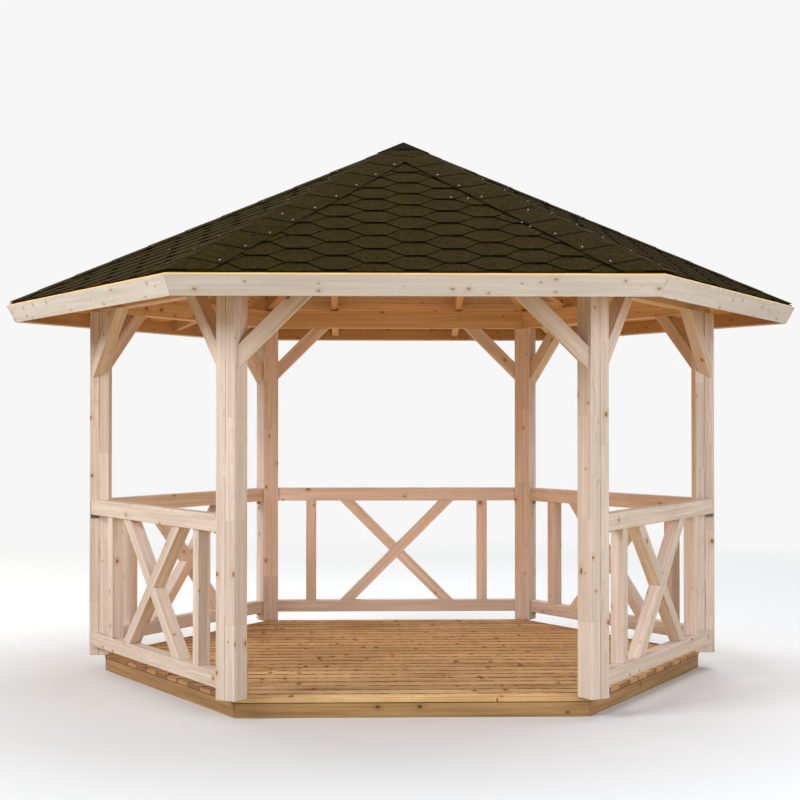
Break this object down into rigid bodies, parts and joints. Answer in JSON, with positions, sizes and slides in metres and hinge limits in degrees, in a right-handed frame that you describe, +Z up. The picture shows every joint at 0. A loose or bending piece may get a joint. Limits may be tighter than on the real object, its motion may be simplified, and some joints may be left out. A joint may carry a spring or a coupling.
{
  "type": "garden gazebo",
  "caption": "Open hexagonal timber garden gazebo on a low board deck, with cross-braced railings and a shingled hip roof.",
  "frame": {"origin": "on the ground, under the middle of the hexagonal deck", "axes": "+Z up; -Y out through the open entrance bay; +X to the right as seen from the entrance, through a post"},
  "size_m": [4.8012, 4.158, 3.1987],
  "materials": {
    "spruce": "planed, untreated spruce",
    "deck_timber": "grooved, oiled deck boards",
    "roof_board_timber": "planed tongue and groove boards",
    "bitumen_shingle": "mineral-grit bitumen shingles",
    "dark_cap": "black bitumen cap",
    "zinc_steel": "zinc-plated nails, screws and brackets"
  },
  "bodies": {
    "root": {"deck_rim": "deck_timber", "deck_joists": "deck_timber", "deck_floor": "deck_timber", "post_right": "spruce", "post_back_right": "spruce", "post_back_left": "spruce", "post_left": "spruce", "post_front_left": "spruce", "post_front_right": "spruce", "ring_beam_front": "spruce", "ring_beam_front_right": "spruce", "ring_beam_back_right": "spruce", "ring_beam_back": "spruce", "ring_beam_back_left": "spruce", "ring_beam_front_left": "spruce", "knee_braces_front": "spruce", "knee_braces_front_right": "spruce", "knee_braces_back_right": "spruce", "knee_braces_back": "spruce", "knee_braces_back_left": "spruce", "knee_braces_front_left": "spruce", "railing_front_right": "spruce", "railing_back_right": "spruce", "railing_back": "spruce", "railing_back_left": "spruce", "railing_front_left": "spruce", "roof_hub": "spruce", "hip_rafters": "spruce", "jack_rafters": "spruce", "roof_boards_front": "roof_board_timber", "roof_boards_front_right": "roof_board_timber", "roof_boards_back_right": "roof_board_timber", "roof_boards_back": "roof_board_timber", "roof_boards_back_left": "roof_board_timber", "roof_boards_front_left": "roof_board_timber", "fascia_front": "spruce", "fascia_front_right": "spruce", "fascia_back_right": "spruce", "fascia_back": "spruce", "fascia_back_left": "spruce", "fascia_front_left": "spruce", "shingles": "bitumen_shingle", "hip_caps": "bitumen_shingle", "apex_cap": "dark_cap"}
  },
  "joints": []
}
